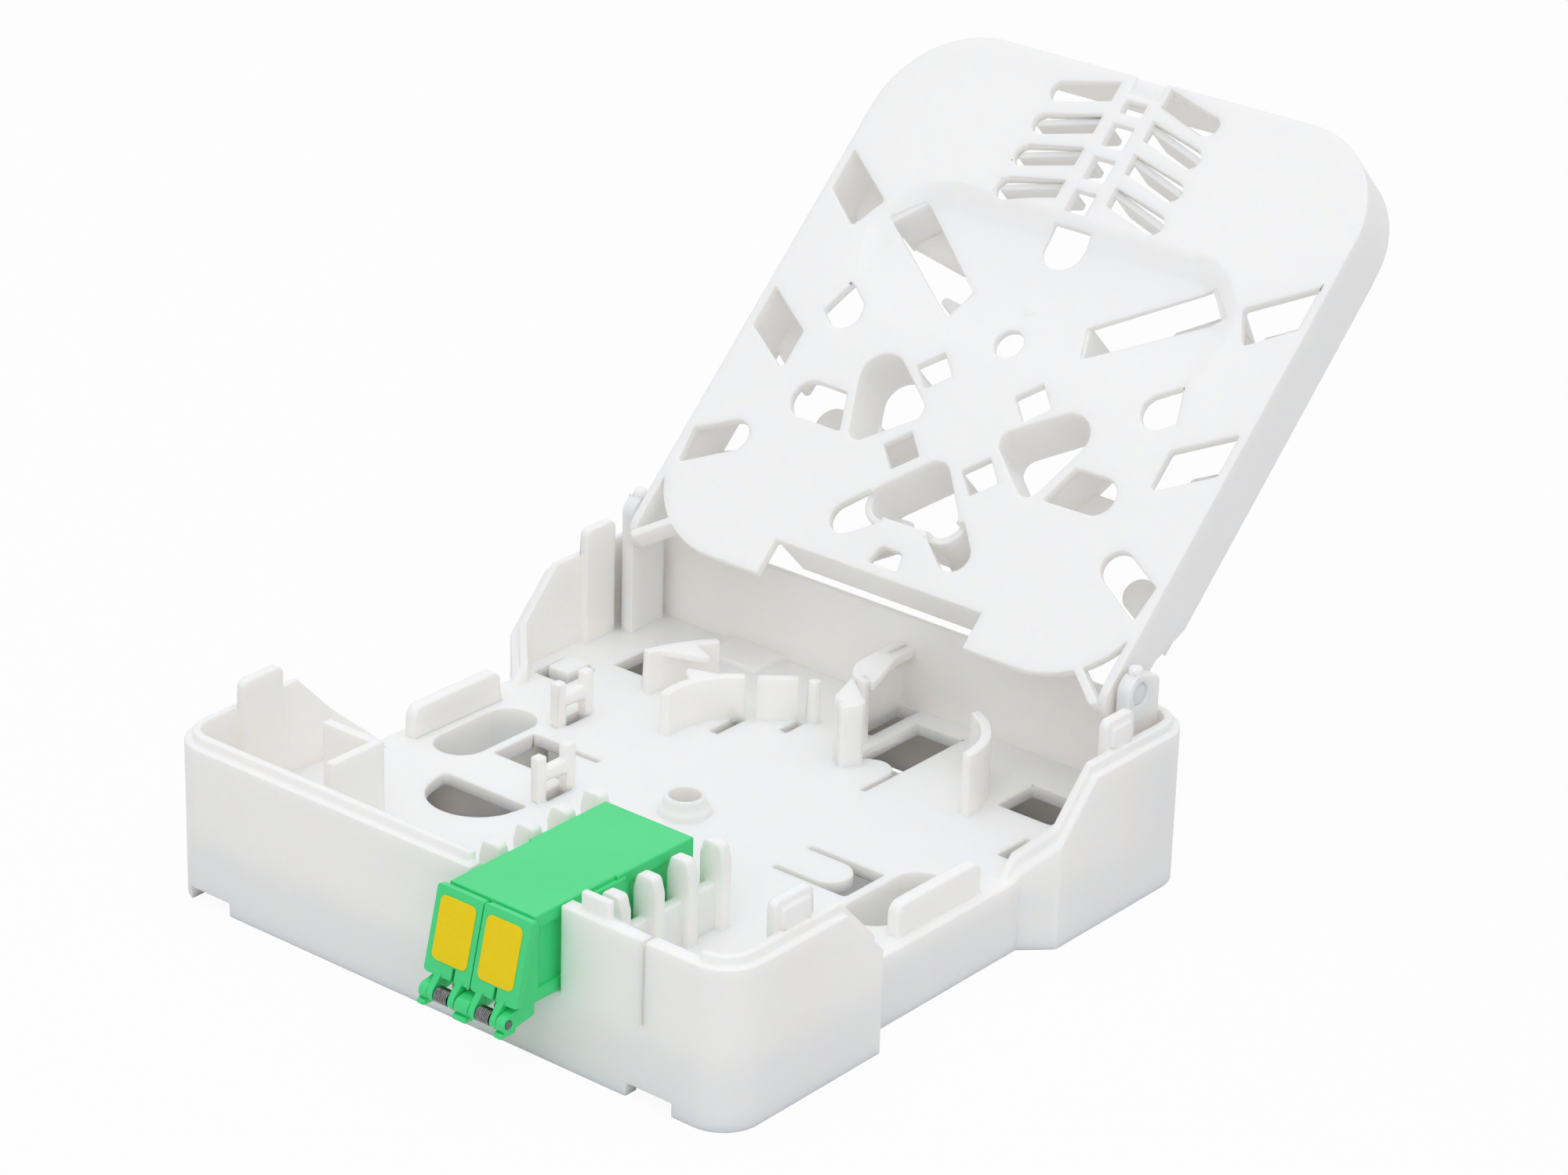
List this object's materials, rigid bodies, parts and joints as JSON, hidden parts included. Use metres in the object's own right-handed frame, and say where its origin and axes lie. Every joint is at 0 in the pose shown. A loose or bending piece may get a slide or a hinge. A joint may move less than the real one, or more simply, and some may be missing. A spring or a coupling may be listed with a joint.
{
  "type": "fibre optic wall outlet",
  "caption": "Open square wall outlet for optical fibre with a hinged splice tray standing open and a shuttered green duplex adapter in the front wall.",
  "frame": {"origin": "middle of the wall face, on the axis of the bored boss in the middle of the base", "axes": "+Z away from the wall, -Y towards the side with the adapter, +X to the right as seen from that side"},
  "size_m": [0.086, 0.1452, 0.0786],
  "materials": {
    "white_plastic": "white moulded plastic, satin",
    "green_plastic": "green moulded plastic, slightly glossy",
    "yellow_film": "plain yellow film",
    "spring_steel": "bare steel wire",
    "sleeve_ceramic": "white zirconia"
  },
  "bodies": {
    "base": {"base_housing": "white_plastic", "adapter_front_housing": "green_plastic", "adapter_rear_housing": "green_plastic", "alignment_sleeve_left": "sleeve_ceramic", "alignment_sleeve_right": "sleeve_ceramic", "shutter_pin": "spring_steel", "shutter_spring_left": "spring_steel", "shutter_spring_right": "spring_steel"},
    "tray": {"splice_tray": "white_plastic"},
    "left_shutter": {"shutter_left": "green_plastic", "shutter_label_left": "yellow_film"},
    "right_shutter": {"shutter_right": "green_plastic", "shutter_label_right": "yellow_film"}
  },
  "joints": [
    {"name": "tray_hinge", "type": "hinge", "parent": "base", "child": "tray", "pos_m": [0, 0.0357, 0.02495], "axis": [1, 0, 0], "range_deg": [0, 136.4]},
    {"name": "left_shutter_hinge", "type": "hinge", "parent": "base", "child": "left_shutter", "pos_m": [0.00863, -0.0502, 0.0083], "axis": [1, 0, 0], "range_deg": [0, 100], "stiffness_Nm_per_rad": 0.0004, "springref_deg": -20.05},
    {"name": "right_shutter_hinge", "type": "hinge", "parent": "base", "child": "right_shutter", "pos_m": [0.01487, -0.0502, 0.0083], "axis": [1, 0, 0], "range_deg": [0, 100], "stiffness_Nm_per_rad": 0.0004, "springref_deg": -20.05}
  ]
}
